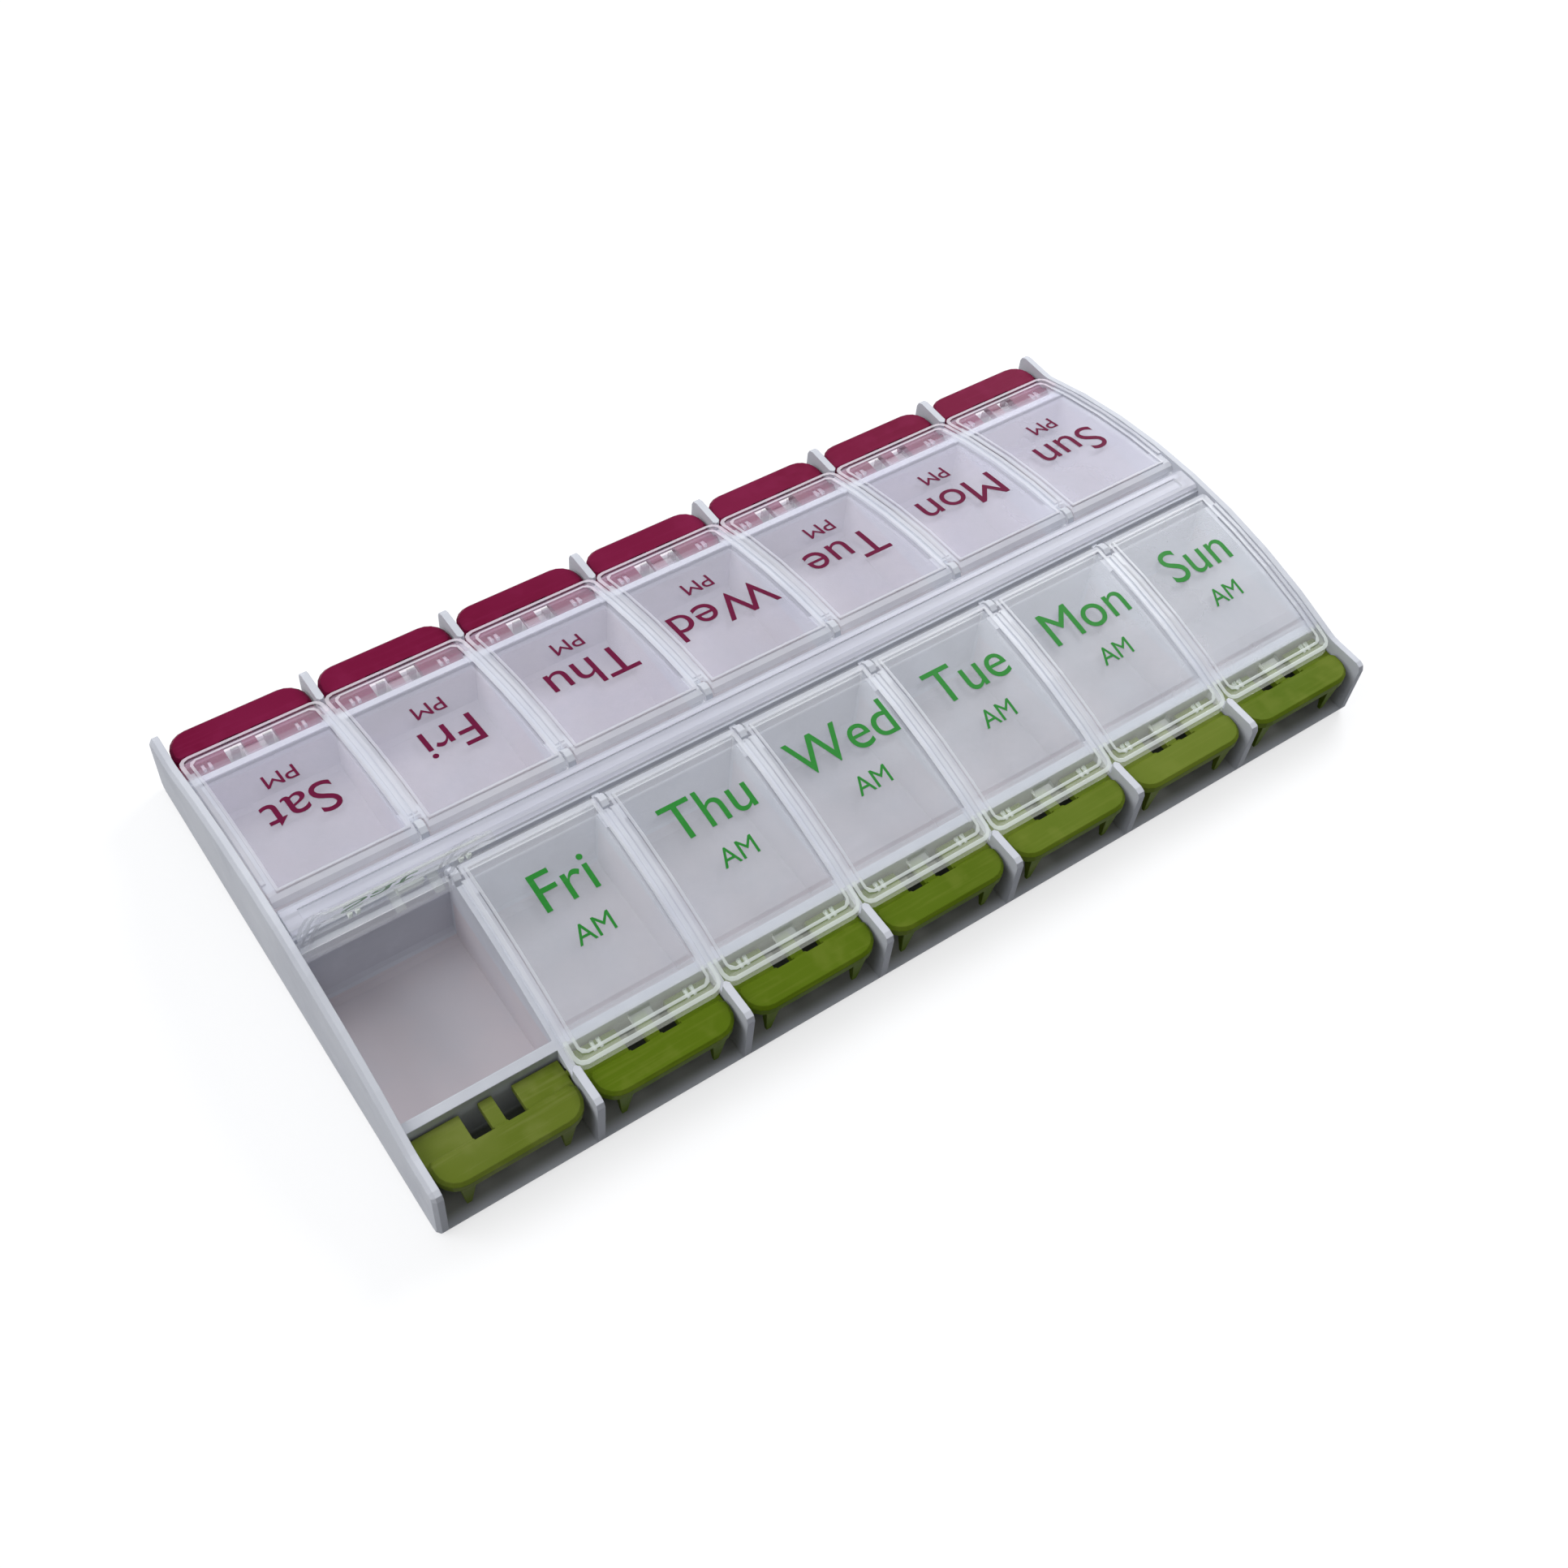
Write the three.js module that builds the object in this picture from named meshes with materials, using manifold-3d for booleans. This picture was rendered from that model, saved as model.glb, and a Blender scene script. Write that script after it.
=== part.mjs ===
// Weekly pill organizer: a white tray with fourteen compartments, fourteen clear lids that are hinged at
// the centre and fourteen push buttons along the long edges. Millimetres, +Z up, front row towards -Y.
import * as THREE from "three";
import { mergeVertices } from "three/addons/utils/BufferGeometryUtils.js";
import Module from "manifold-3d";

const wasm = await Module();
wasm.setup();

// Layout
const days = ["sat", "fri", "thu", "wed", "tue", "mon", "sun"];
const pitch = 30;
const openDay = "sat";
const openAngle = THREE.MathUtils.degToRad(72);

// Tray
const depth = 109;
const floorWall = 1.8;
const partitionWall = 1.5;
const endWall = 1.9;
const crossWall = 1.8;
const bayDepth = 12.9;
const archTop = 23;
const shoulderHeight = 15.2;
const shoulderLead = 1.1;
const shoulderBlend = 8;
const shoulderRound = 1.5;
const footRound = 2;
const endRound = 0.7;
const tipWidth = 0.5;
const floorFillet = 2.5;
const frontFillet = 1;
const bayFillet = 1.5;

// Centre spine, with an open channel along it
const spineClearance = 0.8;
const spineStep = 1.5;
const seatWidth = 1.3;

// Running clearances
const gap = 0.3;
const lidSideGap = 0.35;
const buttonSideGap = 0.4;
const overrun = 1;

// Lids
const lidThickness = 1.2;
const lidOverhang = 5.2;
const lidCorner = 2.2;
const rimHeight = 0.5;
const rimWidth = 0.8;
const ridgeInset = 1.6;
const ridgeWidth = 0.6;
const ridgeCorner = 1.5;
const ridgeRear = 0.1;
const hingeRadius = 1.8;
const hingePlace = 6;
const knuckleRadius = 1.95;
const rimStart = 2.7;
const pinRadius = 0.8;
const pinLength = 0.6;
const locatorInset = 0.7;
const locatorWall = 0.8;
const locatorDepth = 1.2;
const locatorStart = 5;

// Catch under the clear front strip of each lid
const lugHalf = 2.2;
const lugLength = 2.4;
const lugInset = 0.4;
const prongInner = 2.5;
const prongWidth = 1.6;
const prongThickness = 1;
const prongSetback = 1.1;
const prongReach = 2.1;
const prongTaper = 0.3;
const prongTip = 0.8;
const guideRibs = 2;
const guidePlace = 9.4;
const guideSpacing = 1.3;
const guideWidth = 0.6;
const guideLength = 1.8;
const guideDepth = 0.5;

// Buttons
const buttonRearGap = 0.5;
const buttonFrontGap = 0.4;
const plateClearance = 0.8;
const plateThickness = 1.6;
const padRise = 1.3;
const padStart = 0.6;
const padCornerShare = 0.67;
const padRearCorner = 0.9;
const padBevel = 0.6;
const padSkirt = 1.2;
const padHeight = 2.6;
const notchHalf = 5;
const notchInPad = 0.6;
const tongueHalf = 1.3;
const pivotSetback = 3.4;
const buttonTravel = THREE.MathUtils.degToRad(12);
const legPlace = 9.4;
const legSetback = 1.6;
const legWidth = 3.4;
const legDepth = 2.2;
const legTipShare = 0.28;
const legSides = 4;

// Hinge strip over the spine
const stripThickness = 1.2;
const stripReveal = 0.3;
const pocketHalf = 1.25;
const pocketDepth = 0.4;
const pocketEnd = 3;
const edgeDrop = 0.5;
const edgeWidth = 0.7;
const snapWall = 0.8;
const snapDepth = 3;

// Steps of the curves
const archStep = 11;
const cornerStep = 1.3;
const barrelSteps = 8;
const knuckleSteps = 5;
const tipSteps = 3;
const pinSides = 8;
const bevelSegments = 1;

// Sizes that follow from those above
const length = days.length * pitch - partitionWall + 2 * endWall;
const innerHalf = length / 2 - endWall;
const cellHalf = (pitch - partitionWall) / 2;
const bayInside = depth / 2 - bayDepth;
const crossWallInside = bayInside - crossWall;
const lidFront = bayInside + lidOverhang;
const archFoot = lidFront - shoulderLead;
const archDrop = archTop - shoulderHeight;
const archRadius = (archFoot ** 2 + archDrop ** 2) / (2 * archDrop);
const spineHalf = hingePlace - knuckleRadius - spineClearance;
const spineFoot = spineHalf + spineStep;
const channelHalf = spineHalf - seatWidth;
const stripHalf = spineHalf - gap;
const stripSeat = archTop - stripReveal - stripThickness - gap;
const boreRadius = pinRadius + gap;
const boreEnd = innerHalf + lidSideGap + pinLength;
const lidTopDrop = rimHeight;
const lidUnderDrop = rimHeight + lidThickness;
const ledgeDrop = lidUnderDrop + gap;
const neckLength = Math.sqrt((knuckleRadius + gap) ** 2 - (hingeRadius - lidThickness) ** 2);
const hingeHeight = archHeight(hingePlace) - lidTopDrop - hingeRadius;
const spineShoulder = hingeHeight - hingeRadius - gap;
const plateTop = archHeight(lidFront) - lidUnderDrop - plateClearance;
const pivotHeight = plateTop - plateThickness / 2;
const pivotPlace = bayInside + pivotSetback;
const buttonRear = bayInside + buttonRearGap;
const buttonFront = depth / 2 - buttonFrontGap;
const buttonHalf = cellHalf - buttonSideGap;
const padPlace = lidFront + padStart;
const padCorner = padCornerShare * (buttonFront - padPlace);
const notchEnd = padPlace + notchInPad;
const legTip = legTipHeight();

// Height of the arched top at a distance from the centre line
function archHeight(y) {
  return archTop - archRadius + Math.sqrt(archRadius * archRadius - y * y);
}

// Lowest point of a button's legs, which meet the floor at the end of the button's travel
function legTipHeight() {
  const reach = buttonFront - legSetback + (legDepth * legTipShare) / 2 - pivotPlace;
  const lowest = pivotHeight - floorWall - gap;
  return pivotHeight - (lowest - reach * Math.sin(buttonTravel)) / Math.cos(buttonTravel);
}

// Points of an arc about a centre, from one angle to another
function arc(centre, radius, from, to, steps) {
  const points = [];
  for (let i = 0; i <= steps; i++) {
    const angle = from + ((to - from) * i) / steps;
    const turned = new THREE.Vector2(Math.cos(angle), Math.sin(angle)).multiplyScalar(radius);
    points.push(turned.add(centre));
  }
  return points;
}

// An outline whose corners are given as [across, up, radius], each rounded by its own radius
function rounded(corners) {
  const at = corners.map(([a, b]) => new THREE.Vector2(a, b));
  return corners.flatMap(([, , radius = 0], i) => {
    if (!radius) return [at[i]];
    const back = at.at(i - 1).clone().sub(at[i]).normalize();
    const ahead = at[(i + 1) % at.length].clone().sub(at[i]).normalize();
    const half = Math.acos(THREE.MathUtils.clamp(back.dot(ahead), -1, 1)) / 2;
    const middle = back.clone().add(ahead).normalize();
    const centre = middle.multiplyScalar(radius / Math.sin(half)).add(at[i]);
    const first = back.multiplyScalar(radius / Math.tan(half)).add(at[i]).sub(centre).angle();
    const last = ahead.multiplyScalar(radius / Math.tan(half)).add(at[i]).sub(centre).angle();
    const turn = THREE.MathUtils.euclideanModulo(last - first + Math.PI, 2 * Math.PI) - Math.PI;
    const steps = Math.max(1, Math.round((Math.abs(turn) * radius) / cornerStep));
    return arc(centre, radius, first, first + turn, steps);
  });
}

// Points of a curve along Y whose height is the arch less a drop
function archCurve(from, to, drop) {
  const steps = Math.round(Math.abs(to - from) / archStep);
  const points = [];
  for (let i = 0; i <= steps; i++) {
    const y = from + ((to - from) * i) / steps;
    points.push(new THREE.Vector2(y, archHeight(y) - drop));
  }
  return points;
}

// A closed geometry as a solid
function solid(geometry) {
  const bare = geometry.clone();
  bare.deleteAttribute("normal");
  bare.deleteAttribute("uv");
  const merged = mergeVertices(bare);
  const vertProperties = new Float32Array(merged.attributes.position.array);
  const triVerts = new Uint32Array(merged.index.array);
  return new wasm.Manifold(new wasm.Mesh({ numProp: 3, vertProperties, triVerts }));
}

// A solid as a geometry for a mesh
function geometryOf(body) {
  const mesh = body.getMesh();
  const geometry = new THREE.BufferGeometry();
  geometry.setAttribute("position", new THREE.BufferAttribute(mesh.vertProperties, mesh.numProp));
  geometry.setIndex(new THREE.BufferAttribute(mesh.triVerts, 1));
  const flat = geometry.toNonIndexed();
  flat.computeVertexNormals();
  return flat;
}

// An outline in Y and Z, drawn out along X from one place to another, with softened ends if asked
const alongX = new THREE.Matrix4().makeBasis(
  new THREE.Vector3(0, 1, 0),
  new THREE.Vector3(0, 0, 1),
  new THREE.Vector3(1, 0, 0),
);

function prismX(points, from, to, soft = 0) {
  const bevel = { bevelSize: soft, bevelThickness: soft, bevelOffset: -soft, bevelSegments };
  const options = { depth: to - from - 2 * soft, bevelEnabled: soft > 0, ...bevel };
  const geometry = new THREE.ExtrudeGeometry(new THREE.Shape(points), options);
  return solid(geometry.translate(0, 0, from + soft).applyMatrix4(alongX));
}

// An outline in X and Y, drawn out upwards, with softened edges if asked
function prismZ(points, from, to, soft = 0) {
  const bevel = { bevelSize: soft, bevelThickness: soft, bevelOffset: -soft, bevelSegments };
  const options = { depth: to - from - 2 * soft, bevelEnabled: soft > 0, ...bevel };
  const geometry = new THREE.ExtrudeGeometry(new THREE.Shape(points), options);
  return solid(geometry.translate(0, 0, from + soft));
}

function rodX(radius, from, to, y, z) {
  return prismX(arc(new THREE.Vector2(y, z), radius, 0, 2 * Math.PI, pinSides).slice(1), from, to);
}

function join(bodies) {
  return bodies.reduce((sum, body) => sum.add(body));
}

function cut(body, tools) {
  return body.subtract(join(tools));
}

// Outline of the tray seen from the end: flat foot, shoulders over the button bays, arch between them
function trayOutline() {
  const half = depth / 2;
  const arch = archCurve(archFoot, -archFoot, 0).slice(1, -1);
  return rounded([
    [-half, 0, footRound],
    [half, 0, footRound],
    [half, shoulderHeight, shoulderRound],
    [archFoot, shoulderHeight, shoulderBlend],
    ...arch.map((point) => point.toArray()),
    [-archFoot, shoulderHeight, shoulderBlend],
    [-half, shoulderHeight, shoulderRound],
  ]);
}

// Cutters for one side of the tray, with y growing from the centre line outwards
function sideCutters(side) {
  const high = archTop + overrun;
  const half = depth / 2 + overrun;
  const place = (corners) => rounded(corners.map(([y, z, radius]) => [side * y, z, radius]));
  const compartment = place([
    [spineHalf, high],
    [spineHalf, spineShoulder],
    [spineFoot, spineShoulder],
    [spineFoot, floorWall, floorFillet],
    [crossWallInside, floorWall, frontFillet],
    [crossWallInside, high],
  ]);
  const bay = place([
    [bayInside, high],
    [bayInside, floorWall, bayFillet],
    [half, floorWall],
    [half, high],
  ]);
  const axis = new THREE.Vector2(hingePlace, hingeHeight);
  const knuckleEnd = hingePlace + knuckleRadius;
  const low = archHeight(knuckleEnd) - ledgeDrop - hingeHeight;
  const knuckle = arc(axis, knuckleRadius, Math.PI, Math.asin(low / knuckleRadius), knuckleSteps);
  const ledge = archCurve(knuckleEnd, lidFront + gap, ledgeDrop);
  const lidRoom = place([
    [spineHalf, high],
    [spineHalf, hingeHeight],
    ...knuckle.map((point) => point.toArray()),
    ...ledge.map((point) => point.toArray()),
    [lidFront + gap, high],
  ]);
  const tips = days.slice(1).map((day, i) => partitionTip(cellCentre(i) + pitch / 2, side));
  const cutters = [cut(prismX(ordered(lidRoom), -innerHalf, innerHalf), tips)];
  cutters.push(rodX(boreRadius, -boreEnd, boreEnd, side * hingePlace, hingeHeight));
  cutters.push(rodX(boreRadius, -boreEnd, boreEnd, side * pivotPlace, pivotHeight));
  for (let i = 0; i < days.length; i++) {
    const x = cellCentre(i);
    cutters.push(prismX(ordered(compartment), x - cellHalf, x + cellHalf));
    cutters.push(prismX(ordered(bay), x - cellHalf, x + cellHalf));
  }
  return cutters;
}

// Part of a partition that keeps its full height between the round corners of two lids
function partitionTip(x, side) {
  const radius = lidCorner + gap;
  const inset = lidCorner + gap / 2;
  const angle = (half) => Math.PI - Math.acos((inset - half) / radius);
  const centre = new THREE.Vector2(inset, lidFront - lidCorner);
  const flank = arc(centre, radius, angle(tipWidth / 2), angle(partitionWall / 2), tipSteps);
  const right = [...flank, new THREE.Vector2(partitionWall / 2, lidFront + overrun)];
  const left = right.map((point) => new THREE.Vector2(-point.x, point.y)).reverse();
  const plan = [...right, ...left].map((point) => new THREE.Vector2(x + point.x, side * point.y));
  return prismZ(ordered(plan), 0, archTop + 2 * overrun);
}

// An outline turned so that it runs counter-clockwise
function ordered(points) {
  return THREE.ShapeUtils.isClockWise(points) ? [...points].reverse() : points;
}

function cellCentre(i) {
  return (i - (days.length - 1) / 2) * pitch;
}

function makeTray() {
  const high = archTop + overrun;
  const body = prismX(ordered(trayOutline()), -length / 2, length / 2, endRound);
  const cutters = [...sideCutters(-1), ...sideCutters(1)];
  const stripRoom = rounded([
    [-spineHalf, stripSeat],
    [spineHalf, stripSeat],
    [spineHalf, high],
    [-spineHalf, high],
  ]);
  const snapRoom = rounded([
    [-channelHalf, stripSeat + gap - snapDepth],
    [channelHalf, stripSeat + gap - snapDepth],
    [channelHalf, high],
    [-channelHalf, high],
  ]);
  const channel = rounded([
    [-channelHalf, floorWall],
    [channelHalf, floorWall],
    [channelHalf, high],
    [-channelHalf, high],
  ]);
  cutters.push(prismX(stripRoom, -innerHalf, innerHalf));
  cutters.push(prismX(snapRoom, -innerHalf, innerHalf));
  for (let i = 0; i < days.length; i++) {
    const x = cellCentre(i);
    cutters.push(prismX(channel, x - cellHalf, x + cellHalf));
  }
  return cut(body, cutters);
}

// Strip with a long pocket in its top, chamfered edges and two snap ribs below
function makeHingeStrip() {
  const under = stripSeat + gap;
  const top = under + stripThickness;
  const rib = under - snapDepth + gap;
  const ribOuter = channelHalf - gap;
  const ribInner = ribOuter - snapWall;
  const half = [
    [stripHalf - edgeWidth, top],
    [stripHalf, top - edgeDrop],
    [stripHalf, under],
    [ribOuter, under],
    [ribOuter, rib],
    [ribInner, rib],
    [ribInner, under],
  ];
  const mirrored = half.map(([y, z]) => [-y, z]).reverse();
  const points = [...half, ...mirrored].map(([y, z]) => new THREE.Vector2(y, z));
  const pocket = rounded([
    [-pocketHalf, top - pocketDepth],
    [pocketHalf, top - pocketDepth],
    [pocketHalf, top + overrun],
    [-pocketHalf, top + overrun],
  ]);
  const end = innerHalf - gap;
  const strip = prismX(ordered(points), -end, end);
  return strip.subtract(prismX(pocket, pocketEnd - end, end - pocketEnd));
}

// One lid, closed, with its hinge axis as the origin. The outer sides can differ at the ends of a row.
function makeLid(left, right) {
  const neck = cellHalf - lidSideGap;
  const front = hingePlace - lidFront;
  const arched = (from, to, drop) =>
    archCurve(from - hingePlace, to - hingePlace, drop).map(
      (point) => new THREE.Vector2(point.x + hingePlace, point.y - hingeHeight),
    );
  const meet = Math.asin((hingeRadius - lidThickness) / hingeRadius);
  const barrelEnd = -hingeRadius * Math.cos(meet);
  const section = [
    ...arched(front, 0, lidTopDrop).slice(0, -1),
    ...arc(new THREE.Vector2(), hingeRadius, Math.PI / 2, -Math.PI - meet, barrelSteps),
    ...arched(barrelEnd, front, lidUnderDrop).slice(1),
  ];
  const outline = rounded([
    [-left, front, lidCorner],
    [right, front, lidCorner],
    [right, -neckLength],
    [neck, -neckLength],
    [neck, hingeRadius + overrun],
    [-neck, hingeRadius + overrun],
    [-neck, -neckLength],
    [-left, -neckLength],
  ]);
  const tall = depth;
  const plate = prismX(ordered(section), -left, right).intersect(prismZ(outline, -tall, tall));

  // Raised rim and ridge, which follow the arch
  const ring = (step, corner, rear) =>
    rounded([
      [step - left, front + step, corner],
      [right - step, front + step, corner],
      [right - step, -rear],
      [step - left, -rear],
    ]);
  const frame = (inset, width, corner, rear, rearWidth) => {
    const outer = prismZ(ring(inset, corner, rear), -tall, tall);
    return outer.subtract(prismZ(ring(inset + width, corner - width, rear + rearWidth), -tall, tall));
  };
  const band = (rear, high, low) =>
    prismX(ordered([...arched(front, -rear, high), ...arched(-rear, front, low)]), -left, right);
  const rimBand = band(ridgeRear, 0, rimHeight + lidThickness / 2);
  const ridge = frame(ridgeInset, ridgeWidth, ridgeCorner, ridgeRear, ridgeWidth);
  const edge = frame(0, rimWidth, lidCorner, rimStart, 0);
  const rim = rimBand.intersect(edge.add(ridge));

  // Rib under the lid, which drops inside the compartment's walls
  const ribHalf = cellHalf - locatorInset;
  const ribFront = hingePlace - crossWallInside + locatorInset;
  const locator = [
    [-ribHalf, -locatorStart],
    [-ribHalf, ribFront],
    [ribHalf, ribFront],
    [ribHalf, -locatorStart],
    [ribHalf - locatorWall, -locatorStart],
    [ribHalf - locatorWall, ribFront + locatorWall],
    [locatorWall - ribHalf, ribFront + locatorWall],
    [locatorWall - ribHalf, -locatorStart],
  ].map(([x, y]) => new THREE.Vector2(x, y));
  const ribBand = band(rimStart, lidUnderDrop - lidThickness / 2, lidUnderDrop + locatorDepth);
  const rib = ribBand.intersect(prismZ(ordered(locator), -tall, tall));

  return join([plate, rim, rib, ...pins(neck, lidSideGap), ...lidCatch(front)]);
}

// Pins on both sides of a piece, which reach over a gap into the partitions
function pins(half, sideGap) {
  return [-1, 1].map((side) => {
    const root = side * (half - pinLength);
    const tip = side * (half + sideGap + pinLength);
    return rodX(pinRadius, Math.min(root, tip), Math.max(root, tip), 0, 0);
  });
}

// Catch under the clear front strip: a release lug, two prongs and the small guide ribs
function lidCatch(front) {
  const under = (y) => archHeight(hingePlace - y) - rimHeight - lidThickness / 2 - hingeHeight;
  const box = (x, halfWidth, from, to, low) =>
    prismX(
      ordered([
        new THREE.Vector2(from, low),
        new THREE.Vector2(to, low),
        new THREE.Vector2(to, under(to)),
        new THREE.Vector2(from, under(from)),
      ]),
      x - halfWidth,
      x + halfWidth,
    );
  const lugRear = hingePlace - bayInside - lugInset;
  const lugLow = tongueTop() + gap - hingeHeight;
  const pieces = [box(0, lugHalf, lugRear - lugLength, lugRear, lugLow)];
  const prongFront = front + prongSetback;
  const prongRear = prongFront + prongThickness;
  const prongLow = plateTop - prongReach - hingeHeight;
  const prong = [
    [prongFront, under(prongFront)],
    [prongFront, prongLow + prongTip],
    [prongFront + prongTaper, prongLow],
    [prongRear - prongTaper, prongLow],
    [prongRear, prongLow + prongTip],
    [prongRear, under(prongRear)],
  ].map(([y, z]) => new THREE.Vector2(y, z));
  for (const side of [-1, 1]) {
    const middle = side * (prongInner + prongWidth / 2);
    pieces.push(prismX(ordered(prong), middle - prongWidth / 2, middle + prongWidth / 2));
    for (let i = 0; i < guideRibs; i++) {
      const x = side * guidePlace + (i - (guideRibs - 1) / 2) * guideSpacing;
      const start = front + ridgeInset + ridgeWidth;
      const low = under(start) - lidThickness / 2 - guideDepth;
      pieces.push(box(x, guideWidth / 2, start, start + guideLength, low));
    }
  }
  return pieces;
}

// Highest point that the tongue of a fully pressed button reaches
function tongueTop() {
  const reach = pivotPlace - bayInside;
  const half = plateThickness / 2;
  return pivotHeight + half * Math.cos(buttonTravel) + reach * Math.sin(buttonTravel);
}

// One button, not pressed, with its pivot as the origin
function makeButton() {
  const rear = pivotPlace - buttonRear;
  const front = pivotPlace - buttonFront;
  const tongueRear = pivotPlace - bayInside - gap;
  const notchFront = pivotPlace - notchEnd;
  const padRear = pivotPlace - padPlace;
  const top = plateTop - pivotHeight;

  // Rear plate, with a square hole on each side of the tongue
  const right = [
    [tongueHalf, tongueRear],
    [tongueHalf, notchFront],
    [notchHalf, notchFront],
    [notchHalf, rear],
    [buttonHalf, rear],
    [buttonHalf, padRear - padSkirt],
  ];
  const left = right.map(([x, y]) => [-x, y]).reverse();
  const plan = [...right, ...left].map(([x, y]) => new THREE.Vector2(x, y));
  const plate = prismZ(ordered(plan), top - plateThickness, top);

  // Raised pad with rounded front corners, hollow below
  const pad = (inset) =>
    rounded([
      [inset - buttonHalf, front + inset, padCorner - inset],
      [buttonHalf - inset, front + inset, padCorner - inset],
      [buttonHalf - inset, padRear - inset, Math.max(padRearCorner - inset, 0)],
      [inset - buttonHalf, padRear - inset, Math.max(padRearCorner - inset, 0)],
    ]);
  const padTop = top + padRise;
  const shell = prismZ(pad(0), padTop - padHeight, padTop, padBevel);
  const hollow = prismZ(pad(padSkirt), padTop - padHeight - overrun, padTop - plateThickness);
  const slots = [-1, 1].map((side) => {
    const inner = side * tongueHalf;
    const outer = side * notchHalf;
    const slot = [
      [inner, notchFront],
      [outer, notchFront],
      [outer, padRear + overrun],
      [inner, padRear + overrun],
    ].map(([x, y]) => new THREE.Vector2(x, y));
    return prismZ(ordered(slot), top - padHeight, padTop + overrun);
  });
  const cap = cut(shell, [hollow, ...slots]);

  // Tapered legs that meet the floor at the end of the travel
  const legTop = padTop - plateThickness / 2;
  const tip = legTip - pivotHeight;
  const legs = [-1, 1].map((side) => {
    const corner = Math.SQRT1_2;
    const spike = new THREE.CylinderGeometry(corner, corner * legTipShare, legTop - tip, legSides);
    spike.rotateY(Math.PI / legSides).rotateX(Math.PI / 2).scale(legWidth, legDepth, 1);
    return solid(spike.translate(side * legPlace, front + legSetback, (legTop + tip) / 2));
  });

  return join([plate, cap, ...legs, ...pins(buttonHalf, buttonSideGap)]);
}

// Materials
const white = new THREE.MeshStandardMaterial({ color: 0xe4e6ee, roughness: 0.45, metalness: 0 });
const clear = new THREE.MeshStandardMaterial({
  color: 0xd3d9e4,
  roughness: 0.25,
  metalness: 0,
  transparent: true,
  opacity: 0.45,
});
const green = new THREE.MeshStandardMaterial({ color: 0x647a24, roughness: 0.4, metalness: 0 });
const crimson = new THREE.MeshStandardMaterial({ color: 0x780f32, roughness: 0.4, metalness: 0 });

function mesh(name, geometry, material) {
  const made = new THREE.Mesh(geometry, material.clone());
  made.name = name;
  return made;
}

// Assembly: the rear row is the front row turned half round
const organizer = new THREE.Group();
organizer.add(mesh("tray", geometryOf(makeTray()), white));
organizer.add(mesh("hinge_strip", geometryOf(makeHingeStrip()), clear));

const wide = (pitch - gap) / 2;
const endSide = cellHalf - lidSideGap;
const lidShapes = {
  middle: geometryOf(makeLid(wide, wide)),
  left: geometryOf(makeLid(endSide, wide)),
  right: geometryOf(makeLid(wide, endSide)),
};
const buttonShape = geometryOf(makeButton());

for (const row of ["am", "pm"]) {
  const side = new THREE.Group();
  side.rotation.z = row === "pm" ? Math.PI : 0;
  organizer.add(side);
  days.forEach((day, i) => {
    const column = row === "pm" ? days.length - 1 - i : i;
    const ends = { 0: "left", [days.length - 1]: "right" };
    const hinge = new THREE.Group();
    hinge.position.set(cellCentre(column), -hingePlace, hingeHeight);
    hinge.rotation.x = row === "am" && day === openDay ? -openAngle : 0;
    hinge.add(mesh(`lid_${day}_${row}`, lidShapes[ends[column] ?? "middle"], clear));
    const button = mesh(`button_${day}_${row}`, buttonShape, row === "am" ? green : crimson);
    button.position.set(cellCentre(column), -pivotPlace, pivotHeight);
    side.add(hinge, button);
  });
}

export default organizer;
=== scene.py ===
import math
from types import SimpleNamespace

import bmesh
import bpy
from mathutils import Matrix, Vector


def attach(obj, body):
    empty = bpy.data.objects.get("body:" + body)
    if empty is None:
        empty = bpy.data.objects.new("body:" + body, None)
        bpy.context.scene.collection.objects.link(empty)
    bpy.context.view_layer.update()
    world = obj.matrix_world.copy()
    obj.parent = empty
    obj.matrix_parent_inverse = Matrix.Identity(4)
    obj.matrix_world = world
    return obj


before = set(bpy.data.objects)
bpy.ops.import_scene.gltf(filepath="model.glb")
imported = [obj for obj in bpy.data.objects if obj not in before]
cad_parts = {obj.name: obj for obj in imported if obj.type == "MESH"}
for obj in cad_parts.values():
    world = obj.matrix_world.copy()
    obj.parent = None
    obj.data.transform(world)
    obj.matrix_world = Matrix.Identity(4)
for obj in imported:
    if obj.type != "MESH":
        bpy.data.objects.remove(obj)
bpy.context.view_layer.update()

MM = 0.001
DAYS = ("sat", "fri", "thu", "wed", "tue", "mon", "sun")
PITCH = 30 * MM
MIDDLE_COLUMN = len(DAYS) // 2
ROW_HALF = len(DAYS) / 2 * PITCH
OPEN_LID = "lid_sat_am"
OPEN_ANGLE = math.radians(72)

# Sizes of the CAD part that the looks follow
ARCH_TOP = 23 * MM
ARCH_FOOT = 45.7 * MM
ARCH_DROP = 7.8 * MM
ARCH_RADIUS = (ARCH_FOOT ** 2 + ARCH_DROP ** 2) / (2 * ARCH_DROP)
LID_DROP = 0.5 * MM
HINGE_PLACE = 6 * MM
BARREL_RADIUS = 1.8 * MM


def arch(y):
    """Height of the arched top at a distance from the centre line."""
    return ARCH_TOP - ARCH_RADIUS + math.sqrt(ARCH_RADIUS ** 2 - y * y)


HINGE_HEIGHT = arch(HINGE_PLACE) - LID_DROP - BARREL_RADIUS


def linear(red, green, blue):
    """A screen colour of 0 to 255 as the linear colour that the shaders take, by the curve of sRGB."""
    shares = (c / 255 for c in (red, green, blue))
    return tuple(s / 12.92 if s <= 0.04045 else ((s + 0.055) / 1.055) ** 2.4 for s in shares) + (1.0,)


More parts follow.
